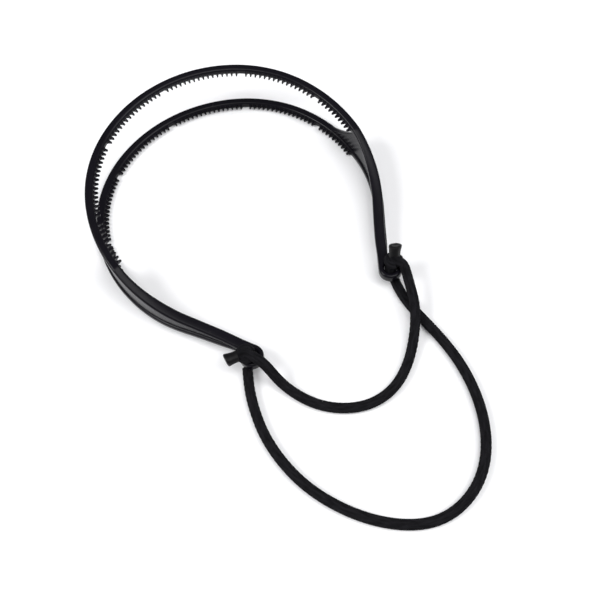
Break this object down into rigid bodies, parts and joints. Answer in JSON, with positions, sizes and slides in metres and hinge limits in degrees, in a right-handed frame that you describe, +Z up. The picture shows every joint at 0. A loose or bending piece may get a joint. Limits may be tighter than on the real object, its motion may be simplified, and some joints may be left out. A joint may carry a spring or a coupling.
{
  "type": "comb headband",
  "caption": "Flexible double-arch hair hoop with comb teeth on its inner side and two elastic cord loops between the eyelets at its open ends.",
  "frame": {"origin": "on the surface that the headband lies on, under the middle of the moulding's box", "axes": "+Y from the open ends to the crown, +X from ear to ear, +Z up from the lower arch to the upper arch"},
  "size_m": [0.1326, 0.2386, 0.0294],
  "materials": {
    "moulding": "glossy moulded plastic",
    "braid": "fine braided sleeve, matte",
    "sealed_end": "cord end melted shut"
  },
  "bodies": {
    "frame_and_cords": {"lower_arch": "moulding", "left_leg": "moulding", "right_leg": "moulding", "left_eyelet_cord": "braid", "right_eyelet_cord": "braid", "left_knot": "braid", "right_knot": "braid", "left_sealed_end": "sealed_end", "right_sealed_end": "sealed_end", "short_cord": "braid", "long_cord": "braid"},
    "upper_arch": {"upper_arch": "moulding"}
  },
  "joints": [
    {"name": "upper_arch_flex", "type": "hinge", "parent": "frame_and_cords", "child": "upper_arch", "pos_m": [0, -0.00179, 0.0191], "axis": [1, 0, 0], "range_deg": [-8, 4], "stiffness_Nm_per_rad": 0.8}
  ]
}
